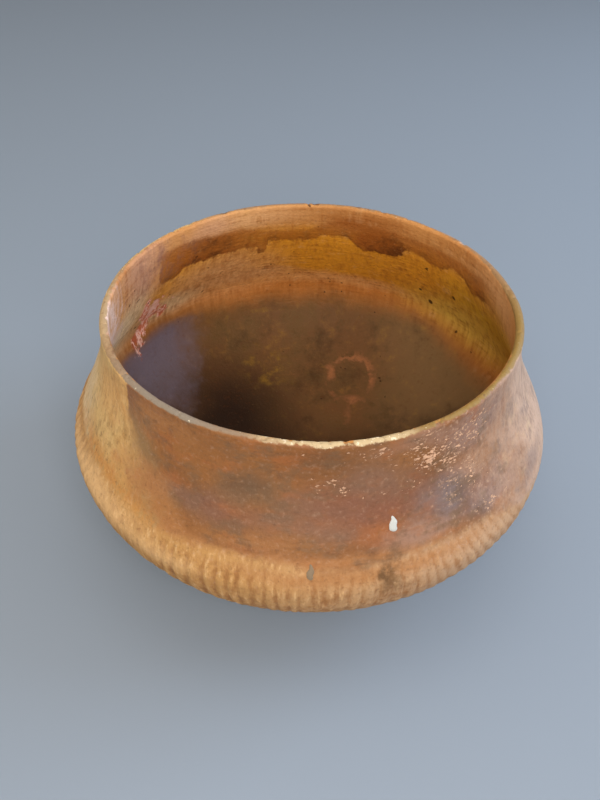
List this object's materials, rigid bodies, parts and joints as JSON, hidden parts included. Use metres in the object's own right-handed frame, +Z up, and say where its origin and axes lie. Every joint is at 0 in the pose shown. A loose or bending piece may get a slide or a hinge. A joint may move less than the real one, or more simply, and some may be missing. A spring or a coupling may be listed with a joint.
{
  "type": "ribbed wide-mouthed earthenware bowl",
  "caption": "Hollow round-bodied earthenware bowl with a wide open mouth, a leaning concave neck and a band of pressed upright ribs round the body.",
  "frame": {"origin": "middle of the flat spot under the bowl, at ground height", "axes": "+Z up along the axis of the bowl, towards the open mouth; -Y is the side nearest the camera in the picture"},
  "size_m": [0.366, 0.366, 0.195],
  "materials": {
    "earthenware": "low-fired clay, red-brown rubbed neck, tan unslipped ribs, sooty brown inside, worn lip"
  },
  "bodies": {
    "root": {"bowl": "earthenware"}
  },
  "joints": []
}
